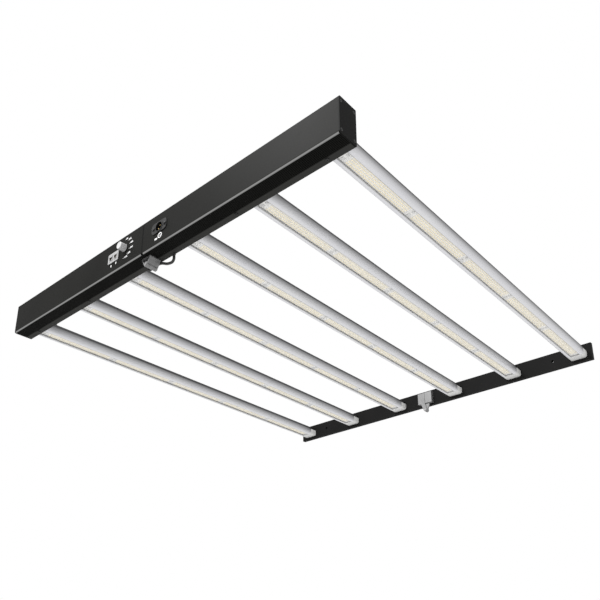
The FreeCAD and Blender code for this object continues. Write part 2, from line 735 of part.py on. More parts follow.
def ear(side, top_z, y0, y1):
    """V-shaped ear: a flat top of EAR_HALF_W, narrowing to the round knuckle at the pivot."""
    outer = (side * EAR_HALF_W, top_z)
    inner = (side * FOLD_GAP / 2, top_z)
    outer_touch = knuckle_tangent(outer, -side)
    inner_touch = knuckle_tangent(inner, side)
    low = (0, PIVOT_Z - KNUCKLE_R)

    def at(point):
        return V(point[0], y0, point[1])

    edges = [
        Part.LineSegment(at(outer), at(outer_touch)).toShape(),
        Part.Arc(at(outer_touch), at(low), at(inner_touch)).toShape(),
        Part.LineSegment(at(inner_touch), at(inner)).toShape(),
        Part.LineSegment(at(inner), at(outer)).toShape(),
    ]
    return Part.Face(Part.Wire(edges)).extrude(V(0, y1 - y0, 0))


def pin_bore(y0, y1):
    return rod("y", (0, PIVOT_Z), PIN_R + PIN_CLEARANCE, y0 - 1, y1 + 1)


def leaf_outline(side):
    """Slanted leaf from the pad's outer edge to the knuckle, along the knuckle's tangent."""
    outer = (side * EAR_HALF_W, -NEAR_PAD)
    touch = knuckle_tangent(outer, -side)
    along = V(touch[0] - outer[0], touch[1] - outer[1], 0).normalize()
    inward = V(-side * abs(along.y), abs(along.x), 0) * NEAR_LEAF_T
    return [
        (*outer, 0), (*touch, 0), (touch[0] + inward.x, touch[1] + inward.y, 0),
        (outer[0] + inward.x - along.x, outer[1] + inward.y - along.y, 0),
    ]


def near_leaf(side, knuckles):
    """Pad under the beam, slanted leaf, and this half's share of the knuckles."""
    pad = box(side * FOLD_GAP / 2, side * EAR_HALF_W, NEAR_Y0, NEAR_Y1, -NEAR_PAD, 0)
    leaf = prism_y(leaf_outline(side), NEAR_Y0, NEAR_Y1)
    body = join([pad, leaf.cut(box(-HALF, HALF, NEAR_Y0 - 1, NEAR_Y1 + 1, -NEAR_PAD, 1))])
    others = []
    start = NEAR_Y0
    for y0, y1 in knuckles + [(NEAR_Y1, NEAR_Y1)]:
        if y0 > start:
            others.append((start, y0))
        start = y1
    clear = KNUCKLE_R + KNUCKLE_PLAY
    body = cut(body, [rod("y", (0, PIVOT_Z), clear, y0, y1) for y0, y1 in others])
    # The folded leaf of the other half comes up to the pivot's level, so each stops short of it.
    body = body.cut(box(-HALF, HALF, NEAR_Y0 - 1, NEAR_Y1 + 1,
                        PIVOT_Z - 2 * KNUCKLE_R, PIVOT_Z + KNUCKLE_PLAY / 2))
    barrels = [rod("y", (0, PIVOT_Z), KNUCKLE_R, y0, y1) for y0, y1 in knuckles]
    holes = [
        rod("z", (side * NEAR_SCREW_X, y), SCREW_HOLE_R, -NEAR_PAD - 1, 1) for y in NEAR_SCREW_Y
    ]
    return cut(join([body] + barrels), holes + [pin_bore(NEAR_Y0, NEAR_Y1)])


def near_hinge_left():
    front = (NEAR_Y0, NEAR_KNUCKLE_Y[0])
    rear = (NEAR_KNUCKLE_Y[1], NEAR_Y1)
    return near_leaf(LEFT, [front, rear])


def near_hinge_right():
    return near_leaf(RIGHT, [(NEAR_KNUCKLE_Y[0] + EAR_PLAY, NEAR_KNUCKLE_Y[1] - EAR_PLAY)])


def far_block(side):
    y0, y1 = FAR_FACE_Y - FAR_HINGE_DEPTH, FAR_FACE_Y
    block = box(side * FOLD_GAP / 2, side * FAR_HINGE_W, y0, y1, FAR_HINGE_Z0, FAR_HINGE_Z1)
    holes = [
        rod("y", (side * FAR_HINGE_SCREW_X, z), SCREW_HOLE_R, y1 - FAR_HINGE_HOLE, y1 + 1)
        for z in FAR_HINGE_SCREW_Z
    ]
    return block, holes


def far_hinge_clevis():
    block, holes = far_block(LEFT)
    y0, y1 = FAR_FACE_Y - FAR_HINGE_DEPTH, FAR_FACE_Y
    parts = [
        block,
        ear(LEFT, FAR_HINGE_Z0, y0, y0 + FAR_HINGE_PLATE),
        ear(LEFT, FAR_HINGE_Z0, y1 - FAR_HINGE_PLATE, y1),
    ]
    return cut(join(parts), holes + [pin_bore(y0, y1)])


def far_hinge_tang():
    block, holes = far_block(RIGHT)
    y0 = FAR_FACE_Y - FAR_HINGE_DEPTH + FAR_HINGE_PLATE + EAR_PLAY
    y1 = FAR_FACE_Y - FAR_HINGE_PLATE - EAR_PLAY
    return cut(join([block, ear(RIGHT, FAR_HINGE_Z0, y0, y1)]), holes + [pin_bore(y0, y1)])


def hinge_pin(y0, y1):
    """Pin with a flat head at each end, just clear of the clevis."""
    shank = rod("y", (0, PIVOT_Z), PIN_R, y0 - PIN_HEAD_T, y1 + PIN_HEAD_T)
    front = rod("y", (0, PIVOT_Z), PIN_HEAD_R, y0 - PIN_HEAD_T, y0)
    back = rod("y", (0, PIVOT_Z), PIN_HEAD_R, y1, y1 + PIN_HEAD_T)
    return join([shank, front, back])


# ---- controls ---------------------------------------------------------------
def port_plate():
    plate = prism_y(rectangle(PLATE_X, PLATE_Z, PLATE_W, PLATE_H, PLATE_CORNER), -PLATE_T, 0)
    half = JACK / 2 + JACK_WINDOW_PLAY
    windows = [
        box(PLATE_X + dx - half, PLATE_X + dx + half, -PLATE_T - 1, 1,
            PLATE_Z - half, PLATE_Z + half)
        for dx in (-JACK_DX, JACK_DX)
    ]
    return cut(plate, windows)


def signal_jack(x):
    half = JACK / 2
    body = box(x - half, x + half, -JACK_FRONT, JACK_DEPTH, PLATE_Z - half, PLATE_Z + half)
    y0 = -JACK_FRONT - 1
    y1 = JACK_SLOT_DEPTH - JACK_FRONT
    slot_low = PLATE_Z - JACK_SLOT_H / 2
    slot = box(x - JACK_SLOT_W / 2, x + JACK_SLOT_W / 2, y0, y1, slot_low, slot_low + JACK_SLOT_H)
    key = box(x - JACK_KEY_W / 2, x + JACK_KEY_W / 2, y0, y1, slot_low - JACK_KEY_H, slot_low + 1)
    return cut(body, [slot, key])


def control_board():
    x0 = PLATE_X - JACK_DX - JACK / 2 - CONTROL_BOARD_MARGIN
    x1 = KNOB_X + POT_SIZE / 2 + CONTROL_BOARD_MARGIN
    return box(x0, x1, JACK_DEPTH, JACK_DEPTH + BOARD_T,
               PLATE_Z - CONTROL_BOARD_LOW, PLATE_Z + CONTROL_BOARD_HIGH)


def dimmer_pot():
    """Potentiometer body with its threaded bush and nut; the shaft turns inside it."""
    half = POT_SIZE / 2
    body = box(KNOB_X - half, KNOB_X + half, WALL, JACK_DEPTH, KNOB_Z - half, KNOB_Z + half)
    bush = rod("y", (KNOB_X, KNOB_Z), BUSH_R, -BUSH_LEN, WALL)
    corners = []
    for i in range(6):
        angle = math.radians(60 * i)
        corners.append((KNOB_X + NUT_R * math.cos(angle), KNOB_Z + NUT_R * math.sin(angle), 0))
    nut = prism_y(corners, -NUT_T, 0)
    bore = rod("y", (KNOB_X, KNOB_Z), SHAFT_R + PIN_CLEARANCE, -BUSH_LEN - 1, POT_BORE_END_Y)
    return join([body, bush, nut]).cut(bore)


def dimmer_shaft():
    return rod("y", (KNOB_X, KNOB_Z), SHAFT_R, -KNOB_LEN + KNOB_FACE_T, SHAFT_END_Y)


def dimmer_knob():
    """Fluted knob with a groove on its face that points at the first mark."""
    tip_y = -KNOB_LEN
    body = Part.makeCone(KNOB_R, KNOB_TIP_R, KNOB_LEN - KNOB_GAP, V(KNOB_X, -KNOB_GAP, KNOB_Z),
                         V(0, -1, 0))
    tip_edge = min(body.Edges, key=lambda e: e.BoundBox.YMax)
    body = body.makeFillet(KNOB_EDGE_R, [tip_edge])
    pointer = box(POINTER_START, KNOB_TIP_R - KNOB_EDGE_R, tip_y - 1, tip_y + POINTER_DEPTH,
                  -POINTER_W / 2, POINTER_W / 2)
    pointer.rotate(V(0, 0, 0), V(0, 1, 0), -MARK_FIRST_DEG)
    pointer.translate(V(KNOB_X, 0, KNOB_Z))
    cuts = [
        rod("y", (KNOB_X, KNOB_Z), KNOB_R - KNOB_WALL, -KNOB_SKIRT, 1),
        rod("y", (KNOB_X, KNOB_Z), SHAFT_R, tip_y + KNOB_FACE_T, 1),
        pointer,
    ]
    flute_at = KNOB_R + FLUTE_R - FLUTE_DEPTH
    for i in range(KNOB_FLUTES):
        angle = math.radians((i + 0.5) * 360 / KNOB_FLUTES)
        spot = (KNOB_X + flute_at * math.cos(angle), KNOB_Z + flute_at * math.sin(angle))
        cuts.append(rod("y", spot, FLUTE_R, tip_y + FLUTE_END, -KNOB_GAP - FLUTE_END))
    return cut(body, cuts)


def panel_marks():
    """Printed scale round the knob and the label under the two jacks."""
    marks = []
    for i in range(MARKS):
        angle = math.radians(MARK_FIRST_DEG - i * MARK_STEP_DEG)
        x = KNOB_X + MARK_RADIUS * math.cos(angle)
        z = KNOB_Z + MARK_RADIUS * math.sin(angle)
        marks.append(prism_y(rectangle(x, z, MARK_W, MARK_H, MARK_CORNER), -MARK_T, 0))
    label = rectangle(LABEL_X, LABEL_Z, LABEL_W, LABEL_H, MARK_CORNER)
    marks.append(prism_y(label, -MARK_T, 0))
    return marks


def inlet_mark():
    """Printed ring with three dots under the power inlet, and a short bar beside it."""
    ring = rod("y", (SIGN_X, SIGN_Z), SIGN_R, -MARK_T, 0)
    ring = ring.cut(rod("y", (SIGN_X, SIGN_Z), SIGN_R - SIGN_LINE, -MARK_T - 1, 1))
    marks = [ring]
    for i in range(INLET_PINS):
        angle = math.radians(90 + i * 360 / INLET_PINS)
        spot = (SIGN_X + SIGN_DOT_CIRCLE * math.cos(angle),
                SIGN_Z + SIGN_DOT_CIRCLE * math.sin(angle))
        marks.append(rod("y", spot, SIGN_DOT_R, -MARK_T, 0))
    bar = rectangle(SIGN_X + SIGN_BAR_DX, SIGN_Z + SIGN_BAR_DZ, SIGN_BAR_W, SIGN_BAR_H, MARK_CORNER)
    marks.append(prism_y(bar, -MARK_T, 0))
    return marks


# ---- power inlet ------------------------------------------------------------
def power_inlet():
    plate = prism_y(
        rectangle(INLET_X, INLET_Z, INLET_PLATE_W, INLET_PLATE_H, INLET_PLATE_CORNER),
        -INLET_PLATE_T, 0,
    )
    barrel = rod("y", (INLET_X, INLET_Z), INLET_R, -INLET_FRONT, INLET_BACK)
    bore = rod("y", (INLET_X, INLET_Z), INLET_BORE_R, -INLET_FRONT - 1, INLET_FLOOR)
    holes = [bore]
    for dx in (-INLET_SCREW_X, INLET_SCREW_X):
        holes.append(rod("y", (INLET_X + dx, INLET_Z), SCREW_HOLE_R, -INLET_PLATE_T - 1, 1))
    return cut(join([plate, barrel]), holes)


def inlet_pins():
    pins = []
    for i in range(INLET_PINS):
        angle = math.radians(90 + i * 360 / INLET_PINS)
        spot = (INLET_X + INLET_PIN_CIRCLE * math.cos(angle),
                INLET_Z + INLET_PIN_CIRCLE * math.sin(angle))
        pins.append(rod("y", spot, INLET_PIN_R, INLET_FLOOR - INLET_PIN_LEN, INLET_FLOOR))
    return pins


# ---- cable across the fold --------------------------------------------------
def cable_elbow():
    """Low elbow under the left half: a stem through the floor, and the cable leaves sideways."""
    x = (ELBOW_X0 + ELBOW_X1) / 2
    block = prism_x(
        [(CABLE_Y - ELBOW_HALF_W, 0, 0), (CABLE_Y + ELBOW_HALF_W, 0, 0),
         (CABLE_Y + ELBOW_HALF_W, ELBOW_Z, ELBOW_EDGE_R),
         (CABLE_Y - ELBOW_HALF_W, ELBOW_Z, ELBOW_EDGE_R)],
        ELBOW_X0, ELBOW_X1,
    )
    stem = rod("z", (x, CABLE_Y), GLAND_STEM_R, -1, GLAND_STEM_TOP)
    return join([block, stem])


def cable_gland():
    """Round gland under the right half; the cable enters it from below."""
    collar = rod("z", (GLAND_X, CABLE_Y), GLAND_R, -GLAND_H, 0)
    rim = min(collar.Edges, key=lambda e: e.BoundBox.ZMax)
    collar = collar.makeChamfer(GLAND_CHAMFER, [rim])
    stem = rod("z", (GLAND_X, CABLE_Y), GLAND_STEM_R, -1, GLAND_STEM_TOP)
    return join([collar, stem])


def bend_radius(before, here, after):
    arriving = here - before
    leaving = after - here
    turn = arriving.getAngle(leaving)
    return ARC_SHARE * min(arriving.Length, leaving.Length) / math.tan(turn / 2), turn


def jumper_cable():
    """Tube along straight runs joined by tangent arcs."""
    points = [V(x, CABLE_Y, z) for x, z in CABLE_ROUTE]
    edges = []
    length = 0.0
    start = points[0]
    for before, here, after in zip(points, points[1:], points[2:]):
        radius, turn = bend_radius(before, here, after)
        reach = radius * math.tan(turn / 2)
        back = (before - here).normalize()
        ahead = (after - here).normalize()
        first = here + back * reach
        last = here + ahead * reach
        inward = (back + ahead).normalize()
        middle = here + inward * (radius / math.cos(turn / 2) - radius)
        edges.append(Part.LineSegment(start, first).toShape())
        edges.append(Part.Arc(first, middle, last).toShape())
        length += (first - start).Length + radius * turn
        start = last
        print("cable arc radius", round(radius, 1))
    edges.append(Part.LineSegment(start, points[-1]).toShape())
    length += (points[-1] - start).Length
    path = Part.Wire(edges)
    ring = Part.Wire(Part.Circle(points[0], points[1] - points[0], CABLE_R).toShape())
    tube = path.makePipeShell([ring], True, False)
    print("cable length", round(length, 1), "volume share",
          round(tube.Volume / (math.pi * CABLE_R ** 2 * length), 4))
    return tube


# ---- write every node -------------------------------------------------------
def nodes():
    made = {}
    bars = [-x for x in reversed(BAR_X)] + BAR_X
    for number, x in enumerate(bars, start=1):
        made[f"heatsink_{number}"] = [heatsink(x)]
        made[f"led_boards_{number}"] = led_boards(x)
        made[f"lens_{number}"] = [lens(x)]
    for side, name in SIDE_NAME.items():
        made[f"driver_housing_{name}"] = [driver_housing(side)]
        made[f"driver_caps_{name}"] = [
            end_plate(side, HALF - CAP_T, True), end_plate(side, FOLD_GAP / 2, False),
        ]
        made[f"black_screws_{name}"] = black_screws(side)
        made[f"driver_board_{name}"] = [driver_board(side)]
        made[f"driver_components_{name}"] = driver_components(side)
        made[f"bar_brackets_{name}"] = [bracket(side * x) for x in BAR_X]
        made[f"bar_caps_{name}"] = [bar_cap(side * x) for x in BAR_X]
        made[f"pan_screws_{name}"] = pan_screws(side)
        made[f"far_beam_{name}"] = [far_beam(side)]
        made[f"far_caps_{name}"] = far_caps(side)
        made[f"hanging_lug_{name}"] = [hanging_lug(side)]
    made["near_hinge_left"] = [near_hinge_left()]
    made["near_hinge_right"] = [near_hinge_right()]
    made["near_hinge_pin"] = [hinge_pin(NEAR_Y0, NEAR_Y1)]
    made["far_hinge_clevis"] = [far_hinge_clevis()]
    made["far_hinge_tang"] = [far_hinge_tang()]
    made["far_hinge_pin"] = [hinge_pin(FAR_FACE_Y - FAR_HINGE_DEPTH, FAR_FACE_Y)]
    made["port_plate"] = [port_plate()]
    made["signal_jacks"] = [signal_jack(PLATE_X + dx) for dx in (-JACK_DX, JACK_DX)]
    made["control_board"] = [control_board()]
    made["dimmer_pot"] = [dimmer_pot()]
    made["dimmer_shaft"] = [dimmer_shaft()]
    made["dimmer_knob"] = [dimmer_knob()]
    made["panel_marks"] = panel_marks()
    made["power_inlet"] = [power_inlet()]
    made["inlet_pins"] = inlet_pins()
    made["inlet_mark"] = inlet_mark()
    made["cable_elbow"] = [cable_elbow()]
    made["cable_gland"] = [cable_gland()]
    made["jumper_cable"] = [jumper_cable()]
    return made


os.makedirs("parts", exist_ok=True)
for node, solids in nodes().items():
    shape = solids[0] if len(solids) == 1 else Part.makeCompound(solids)
    shape.translate(V(0, -ORIGIN_Y, -ORIGIN_Z))
    for solid in shape.Solids:
        if solid.Volume <= 0 or not solid.isValid():
            raise ValueError(f"{node} holds a bad solid")
    if len(shape.Solids) != len(solids):
        raise ValueError(f"{node} has {len(shape.Solids)} solids, not {len(solids)}")
    shape.exportStep(f"parts/{node}.step")
    print(node, len(solids), round(shape.Volume / 1000, 2), "cm3")
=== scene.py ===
# %% [markdown]
# This lesson dresses a folding LED grow light: six light bars between a deep driver beam and a
# slim far beam, hinged across the middle. The frame opened below holds every hard part at its
# true size. The lesson adds covers, LEDs, the cable and the printing, and gives each part a
# finish. Millimetres are turned into metres as they are used.

# %% Open the measured frame
import math

import bmesh
import bpy
from mathutils import Matrix, Vector


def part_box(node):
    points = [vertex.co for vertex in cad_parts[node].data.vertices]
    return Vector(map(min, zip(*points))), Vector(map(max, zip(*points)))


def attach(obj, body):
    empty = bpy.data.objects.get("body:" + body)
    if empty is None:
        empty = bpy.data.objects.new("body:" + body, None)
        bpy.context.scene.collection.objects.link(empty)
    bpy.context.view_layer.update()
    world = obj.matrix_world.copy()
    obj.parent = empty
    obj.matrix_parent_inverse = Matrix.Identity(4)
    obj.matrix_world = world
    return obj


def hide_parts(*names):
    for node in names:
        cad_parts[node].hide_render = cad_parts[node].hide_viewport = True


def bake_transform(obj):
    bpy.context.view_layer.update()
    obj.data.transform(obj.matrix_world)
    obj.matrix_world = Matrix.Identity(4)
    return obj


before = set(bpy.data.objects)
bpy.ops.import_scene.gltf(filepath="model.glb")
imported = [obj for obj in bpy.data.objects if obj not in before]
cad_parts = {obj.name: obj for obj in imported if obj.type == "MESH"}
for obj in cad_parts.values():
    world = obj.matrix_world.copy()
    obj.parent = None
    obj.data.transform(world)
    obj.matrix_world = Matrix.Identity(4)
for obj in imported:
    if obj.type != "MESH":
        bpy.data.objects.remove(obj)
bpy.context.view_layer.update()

print("the frame holds", len(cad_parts), "nodes")

# %% [markdown]
# First we need a handy way to say where things are. Measuring from the driver beam's lower
# front edge, on the fold line, is how a fitter would do it, so that is our zero. The numbers
# come from the frame itself, so they stay right if the frame is measured again.

# %% Measure from the driver beam's lower front edge
MM = 0.001
housing_low, housing_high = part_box("driver_housing_left")


def at(x, y, z):
    """Millimetres from the fold line and the driver beam's lower front edge, as a point."""
    return Vector((x * MM, housing_low.y + y * MM, housing_low.z + z * MM))


print("zero is at", [round(value, 4) for value in at(0, 0, 0)])

# %% [markdown]
# The light hangs overhead, so the eye is low, in front and to the right, looking up at the lit
# side. A camera can be turned by hand, but a look vector is easier to trust: to_track_quat
# turns the camera's own -Z along it and keeps its top up. The frame is shifted a little, as a
# view camera's is, which keeps upright edges upright.

# %% Set up the camera
SENSOR_WIDTH = 36.0
LENS = 42.65
FRAME_SHIFT = 0.226
CAMERA_PLACE = (1135.0, -769.4, -891.9)
CAMERA_LOOK = Vector((-0.6212, 0.7081, 0.3358))
camera_data = bpy.data.cameras.new("camera")
camera_data.sensor_width = SENSOR_WIDTH
camera_data.lens = LENS
camera_data.shift_y = FRAME_SHIFT
camera = bpy.data.objects.new("camera", camera_data)
bpy.context.collection.objects.link(camera)
camera.location = at(*CAMERA_PLACE)
camera.rotation_euler = CAMERA_LOOK.to_track_quat("-Z", "Y").to_euler()
bpy.context.scene.camera = camera
print("camera at", [round(value, 3) for value in camera.location])

# %% [markdown]
# Blender's operators act on whatever is selected, and the frame arrives selected. So before
# every step we put everything down, then pick up only the piece in hand.

# %% Pick up one piece at a time
def put_all_down():
    if bpy.context.object and bpy.context.object.mode != "OBJECT":
        bpy.ops.object.mode_set(mode="OBJECT")
    bpy.ops.object.select_all(action="DESELECT")


def pick_up(piece):
    put_all_down()
    piece.select_set(True)
    bpy.context.view_layer.objects.active = piece


print("hands free")

# %% [markdown]
# Most hard pieces start as a block between two corners. The block is scaled and then its place
# and size are applied, so the object itself stays at the origin and the mesh holds the place.

# %% Cut a block to size
def block(name, low, high):
    put_all_down()
    bpy.ops.mesh.primitive_cube_add(size=1, location=(low + high) / 2)
    piece = bpy.context.object
    piece.name = piece.data.name = name
    piece.scale = high - low
    bpy.ops.object.transform_apply(location=True, rotation=True, scale=True)
    return piece


print("blocks are ready to cut")

# %% [markdown]
# To work on part of a mesh we go into edit mode and select faces or edges by a rule, such as
# "looks down" or "lies along the top". A rule keeps working when a size changes, where a list
# of face numbers would not.

# %% Choose faces or edges by a rule
def choose(piece, kind, rule):
    pick_up(piece)
    bpy.ops.object.mode_set(mode="EDIT")
    bpy.ops.mesh.select_mode(type=kind)
    bpy.ops.mesh.select_all(action="DESELECT")
    grid = bmesh.from_edit_mesh(piece.data)
    for item in {"FACE": grid.faces, "EDGE": grid.edges}[kind]:
        if rule(item):
            item.select_set(True)
    grid.select_flush_mode()
    bmesh.update_edit_mesh(piece.data)


def middle(edge):
    return (edge.verts[0].co + edge.verts[1].co) / 2


def leave_edit_mode():
    bpy.ops.object.mode_set(mode="OBJECT")


print("rules choose the faces")

# %% [markdown]
# Modifiers such as Array, Solidify and Bevel do exact work without hand strokes. Applying one
# at once turns its result into plain mesh, so nothing is left live on the piece.

# %% Apply a modifier at once
def apply_modifier(piece, kind, **settings):
    pick_up(piece)
    modifier = piece.modifiers.new(kind, kind)
    for name, value in settings.items():
        setattr(modifier, name, value)
    bpy.ops.object.modifier_apply(modifier=modifier.name)


print("modifiers are applied as they are added")

# %% [markdown]
# The two halves are fed through a short round jumper cable under the hinge. It leaves a low
# elbow on the left half, hangs in a shallow curve and turns up into a round gland on the right
# half. Its line is a NURBS curve through a few control points, because a real cable has no
# corners: the curve cuts smoothly inside them. The order is raised after the points are in,
# since Blender lowers it again while there are too few.

# %% Lay out the jumper cable's line
CABLE_Y = 45.0
CABLE_RADIUS = 3.1 * MM
CABLE_STOPS = [
    (-20.0, -4.1), (-12.0, -4.1), (-2.0, -3.7), (8.0, -4.1), (20.0, -8.4), (32.0, -15.4),
    (44.0, -18.8), (53.0, -19.3), (57.6, -13.4), (56.6, -7.6), (56.6, -3.0),
]
cable_curve = bpy.data.curves.new("jumper_line", "CURVE")
cable_curve.dimensions = "3D"
cable_curve.resolution_u = 14
cable_spline = cable_curve.splines.new("NURBS")
cable_spline.points.add(len(CABLE_STOPS) - 1)
for point, (x, z) in zip(cable_spline.points, CABLE_STOPS):
    point.co = (*at(x, CABLE_Y, z), 1.0)
cable_spline.order_u = 3
cable_spline.use_endpoint_u = True
cable_line = bpy.data.objects.new("jumper_line", cable_curve)
bpy.context.collection.objects.link(cable_line)
bpy.context.view_layer.update()
cable_path = [tuple(v.co) for v in bpy.data.meshes.new_from_object(cable_line).vertices]
cable_steps = zip(cable_path, cable_path[1:])
cable_length = sum((Vector(b) - Vector(a)).length for a, b in cable_steps)
print("cable length in mm", round(cable_length / MM, 1))

# %% [markdown]
# The curve gets its thickness from a round bevel, and is then made a mesh. Its ends are hidden in
# the elbow and the gland. The curve itself has done its work and is removed.

# %% Give the cable its thickness
cable_curve.bevel_depth = CABLE_RADIUS
cable_curve.bevel_resolution = 6
cable_curve.use_fill_caps = True
bpy.context.view_layer.update()
cable_mesh = bpy.data.meshes.new_from_object(cable_line)
cable_mesh.name = "jumper_tube"
jumper = bpy.data.objects.new("jumper_tube", cable_mesh)
bpy.context.collection.objects.link(jumper)
bpy.data.objects.remove(cable_line)
pick_up(jumper)
bpy.ops.object.shade_smooth()
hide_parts("jumper_cable")
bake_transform(jumper)
print("cable has", len(cable_mesh.polygons), "faces")

# %% [markdown]
# Every LED board is covered with rows of small square LED packages: a cream plastic body with a
# pale yellow window of phosphor let into its face. One is modelled, with an inset face pushed
# in a little, and Array modifiers lay out four rows of them on each of the five boards. With
# thousands of copies, a dozen faces each is plenty.

# %% Model one LED package
CHIP_WIDTH = 3.4 * MM
CHIP_LENGTH = 5.2 * MM
CHIP_HEIGHT = 0.7 * MM
CHIP_RIM = 0.35 * MM
CHIP_DISH = 0.12 * MM
ROW_PITCH = 6.0 * MM
ROWS = 4
BOARDS = 5
BOARD_PITCH = 215.5 * MM
BOARD_LENGTH = 214.5 * MM
CHIPS_ALONG = 32


def led_package(name, corner):
    """One package whose first corner and board side are at corner."""
    low = Vector((corner.x, corner.y, corner.z - CHIP_HEIGHT))
    high = low + Vector((CHIP_WIDTH, CHIP_LENGTH, CHIP_HEIGHT))
    chip = block(name, low, high)
    choose(chip, "FACE", lambda face: face.normal.z < -0.9)
    bpy.ops.mesh.inset(thickness=CHIP_RIM)
    bpy.ops.transform.translate(value=(0, 0, CHIP_DISH))
    leave_edit_mode()
    choose(chip, "FACE", lambda face: face.normal.z > 0.9)
    bpy.ops.mesh.delete(type="FACE")
    leave_edit_mode()
    return chip


print("a package is", round(CHIP_WIDTH / MM, 1), "by", round(CHIP_LENGTH / MM, 1), "mm")

# %% [markdown]
# The packages of one bar become one piece. Three arrays do it: across the board, along the
# board, and from board to board. The first board is longer than the rest, so the rows are
# measured back from the far end.

# %% Fill one bar with packages
def led_rows(name, bar):
    low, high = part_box(f"led_boards_{bar}")
    first_board = high.y - (BOARDS - 1) * BOARD_PITCH - BOARD_LENGTH
    rows_length = (CHIPS_ALONG - 1) * ROW_PITCH + CHIP_LENGTH
    centre_x = (low.x + high.x) / 2
    corner = Vector((
        centre_x - ((ROWS - 1) * ROW_PITCH + CHIP_WIDTH) / 2,
        first_board + (BOARD_LENGTH - rows_length) / 2,
        low.z,
    ))
    rows = led_package(name, corner)
    for count, step in (
        (ROWS, (ROW_PITCH, 0, 0)), (CHIPS_ALONG, (0, ROW_PITCH, 0)), (BOARDS, (0, BOARD_PITCH, 0)),
    ):
        apply_modifier(rows, "ARRAY", count=count, use_relative_offset=False,
                       use_constant_offset=True, constant_offset_displace=step)
    return rows


led_rows_first = led_rows("led_rows_1", 1)
print("faces on one bar", len(led_rows_first.data.polygons))

# %% [markdown]
# Where each board begins sit small white connectors that carry the current on. Each is a block with
# softened edges and a slot pressed into its face.

# %% Add the board connectors
CONNECTOR_SIZE = Vector((5.0, 6.4, 2.0)) * MM
CONNECTOR_RIM = 1.2 * MM
CONNECTOR_SLOT = 0.6 * MM
CONNECTOR_ROUND = 0.25 * MM
CONNECTOR_APART = 11.0 * MM
BOARD_GAP = BOARD_PITCH - BOARD_LENGTH


def board_connectors(name, bar):
    low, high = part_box(f"led_boards_{bar}")
    first_joint = high.y - BOARDS * BOARD_PITCH + BOARD_GAP / 2
    first_x = (low.x + high.x - CONNECTOR_APART) / 2
    centre = Vector((first_x, first_joint, low.z - CONNECTOR_SIZE.z / 2))
    piece = block(name, centre - CONNECTOR_SIZE / 2, centre + CONNECTOR_SIZE / 2)
    choose(piece, "FACE", lambda face: face.normal.z < -0.9)
    bpy.ops.mesh.inset(thickness=CONNECTOR_RIM)
    bpy.ops.transform.translate(value=(0, 0, CONNECTOR_SLOT))
    leave_edit_mode()
    apply_modifier(piece, "BEVEL", width=CONNECTOR_ROUND, segments=2, limit_method="ANGLE")
    apply_modifier(piece, "ARRAY", count=2, use_relative_offset=False, use_constant_offset=True,
                   constant_offset_displace=(CONNECTOR_APART, 0, 0))
    apply_modifier(piece, "ARRAY", count=BOARDS, use_relative_offset=False,
                   use_constant_offset=True, constant_offset_displace=(0, BOARD_PITCH, 0))
    return piece


connectors_first = board_connectors("board_connectors_1", 1)
print("connector faces on one bar", len(connectors_first.data.polygons))

# %% [markdown]
# A long trough-shaped cover snaps over each bar. It is drawn as one profile but in two
# plastics: a clear window over the LEDs and white wings that wrap round the sides. We start
# from a block, take away its top and ends, round the two long lower edges with a bevel, and
# turn the rims in under the heat sink's hooks.

# %% Shape the cover's outside
COVER_ROUND = 7.0 * MM
COVER_WALL = 1.5 * MM
RIM_TURN = 1.3 * MM
WINDOW_HALF = 13.0 * MM
GROOVE_HALF = 0.6 * MM


def cover_shell(name, bar):
    low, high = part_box(f"lens_{bar}")
    shell = block(name, low, high)
    choose(shell, "FACE", lambda face: face.normal.z > 0.9 or abs(face.normal.y) > 0.9)
    bpy.ops.mesh.delete(type="FACE")
    leave_edit_mode()
    choose(shell, "EDGE", lambda edge: abs(edge.verts[0].co.y - edge.verts[1].co.y) > 0.1
           and middle(edge).z < low.z + 1e-5)
    bpy.ops.mesh.bevel(offset=COVER_ROUND, segments=8, affect="EDGES")
    leave_edit_mode()
    for side, inward in ((low.x, RIM_TURN), (high.x, -RIM_TURN)):
        choose(shell, "EDGE", lambda edge: middle(edge).z > high.z - 1e-5
               and abs(middle(edge).x - side) < 1e-5)
        bpy.ops.mesh.extrude_region_move(TRANSFORM_OT_translate={"value": (inward, 0, 0)})
        leave_edit_mode()
    return shell


cover_first = cover_shell("cover_wings_1", 1)
print("cover profile faces", len(cover_first.data.polygons))

# %% [markdown]
# Four cuts along the bar mark the window and a fine grey seam on each side of it. The two seams and
# the strip between them are separated in turn, and what is left is the pair of wings. Solidify then
# gives each piece its wall, inwards.

# %% Part the window from the wings
def cover_cuts(shell, centre_x):
    for offset in (-1, 1):
        for groove in (-GROOVE_HALF, GROOVE_HALF):
            choose(shell, "FACE", lambda face: True)
            cut_x = centre_x + offset * (WINDOW_HALF + groove)
            bpy.ops.mesh.bisect(plane_co=(cut_x, 0, 0), plane_no=(1, 0, 0))
            leave_edit_mode()


def part_off(shell, name, rule):
    """Separate the chosen faces into a piece of their own."""
    choose(shell, "FACE", rule)
    bpy.ops.mesh.separate(type="SELECTED")
    leave_edit_mode()
    piece = next(o for o in bpy.context.selected_objects if o != shell)
    piece.name = piece.data.name = name
    return piece


